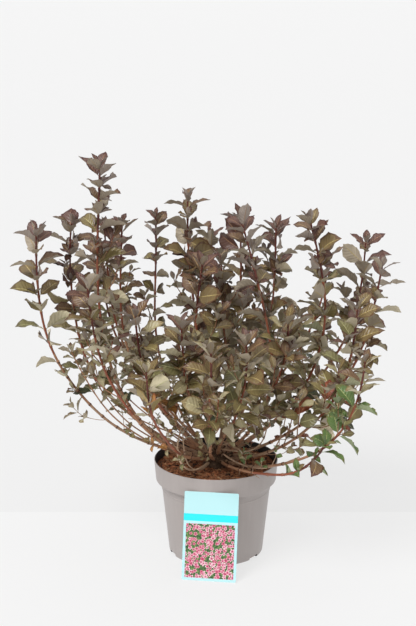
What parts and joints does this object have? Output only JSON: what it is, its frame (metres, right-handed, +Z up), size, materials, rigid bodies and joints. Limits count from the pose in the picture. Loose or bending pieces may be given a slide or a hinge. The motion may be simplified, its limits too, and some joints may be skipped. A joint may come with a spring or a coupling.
{
  "type": "potted weigela shrub",
  "caption": "Bushy flowering shrub in leaf, arching woody stems from one crown, in a round plastic nursery pot with a plant card leaning on its rim.",
  "frame": {"origin": "centre of the pot's flat underside", "axes": "+Z up along the pot's axis, -Y the front where the plant card leans, +X to the right of the front view"},
  "size_m": [0.8716, 0.7197, 0.9422],
  "materials": {
    "pot_plastic": "taupe grey moulded plastic, satin, near black inside",
    "bark_mulch": "moist shredded bark and coir, rough",
    "old_wood": "old grey-brown bark, fissured, matt",
    "stem_bark": "tan brown stem bark, smooth with raised nodes",
    "leaves": "bronze and plum over green, satin above, pale grey beneath",
    "card_stock": "printed card, pale aqua and flowers, semi gloss"
  },
  "bodies": {
    "root": {"pot": "pot_plastic", "soil": "bark_mulch", "crown": "old_wood", "far_left_bough": "stem_bark", "far_left_foliage": "leaves", "left_outer_bough": "stem_bark", "left_outer_foliage": "leaves", "left_tallest_bough": "stem_bark", "left_tallest_foliage": "leaves", "left_front_bough": "stem_bark", "left_front_foliage": "leaves", "left_rear_bough": "stem_bark", "left_rear_foliage": "leaves", "left_inner_bough": "stem_bark", "left_inner_foliage": "leaves", "left_short_bough": "stem_bark", "left_short_foliage": "leaves", "back_left_bough": "stem_bark", "back_left_foliage": "leaves", "rear_left_bough": "stem_bark", "rear_left_foliage": "leaves", "rear_tall_bough": "stem_bark", "rear_tall_foliage": "leaves", "back_centre_bough": "stem_bark", "back_centre_foliage": "leaves", "centre_left_bough": "stem_bark", "centre_left_foliage": "leaves", "rear_centre_bough": "stem_bark", "rear_centre_foliage": "leaves", "centre_right_bough": "stem_bark", "centre_right_foliage": "leaves", "rear_right_bough": "stem_bark", "rear_right_foliage": "leaves", "back_right_bough": "stem_bark", "back_right_foliage": "leaves", "right_outer_bough": "stem_bark", "right_outer_foliage": "leaves", "right_tall_bough": "stem_bark", "right_tall_foliage": "leaves", "far_right_bough": "stem_bark", "far_right_foliage": "leaves", "centre_tall_bough": "stem_bark", "centre_tall_foliage": "leaves", "right_front_bough": "stem_bark", "right_front_foliage": "leaves", "right_low_bough": "stem_bark", "right_low_foliage": "leaves", "right_lowest_bough": "stem_bark", "right_lowest_foliage": "leaves", "right_inner_bough": "stem_bark", "right_inner_foliage": "leaves", "front_right_bough": "stem_bark", "front_right_foliage": "leaves", "front_left_bough": "stem_bark", "front_left_foliage": "leaves", "left_low_bough": "stem_bark", "left_low_foliage": "leaves", "front_low_bough": "stem_bark", "front_low_foliage": "leaves", "plant_card": "card_stock"}
  },
  "joints": []
}
